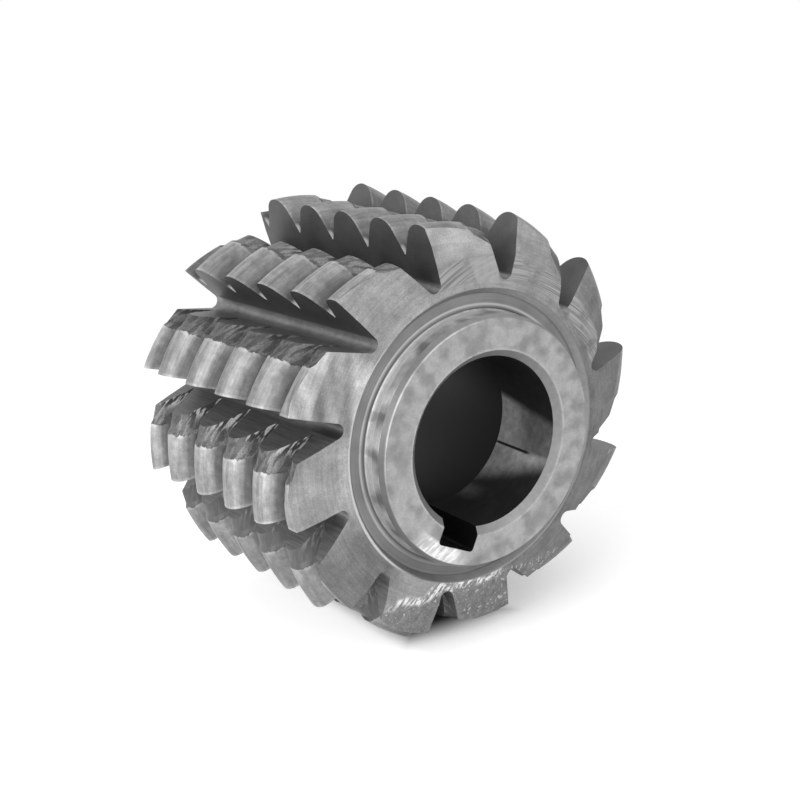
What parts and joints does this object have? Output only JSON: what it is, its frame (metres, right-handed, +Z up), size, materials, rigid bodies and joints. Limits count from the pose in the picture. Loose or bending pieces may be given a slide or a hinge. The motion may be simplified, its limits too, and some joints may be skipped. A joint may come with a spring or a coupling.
{
  "type": "sprocket hob",
  "caption": "Solid sprocket hob with relieved cutting teeth on a helical thread, crossed by chip gashes, with a hub at each end and a keyed arbor bore.",
  "frame": {"origin": "on the arbor axis, half-way along the tool", "axes": "+Y along the arbor axis from the front hub face to the back one, +Z up, with the tool lying on its teeth"},
  "size_m": [0.0681, 0.0542, 0.0682],
  "materials": {
    "tool_steel": "ground and turned bare steel"
  },
  "bodies": {
    "root": {"hob": "tool_steel"}
  },
  "joints": []
}
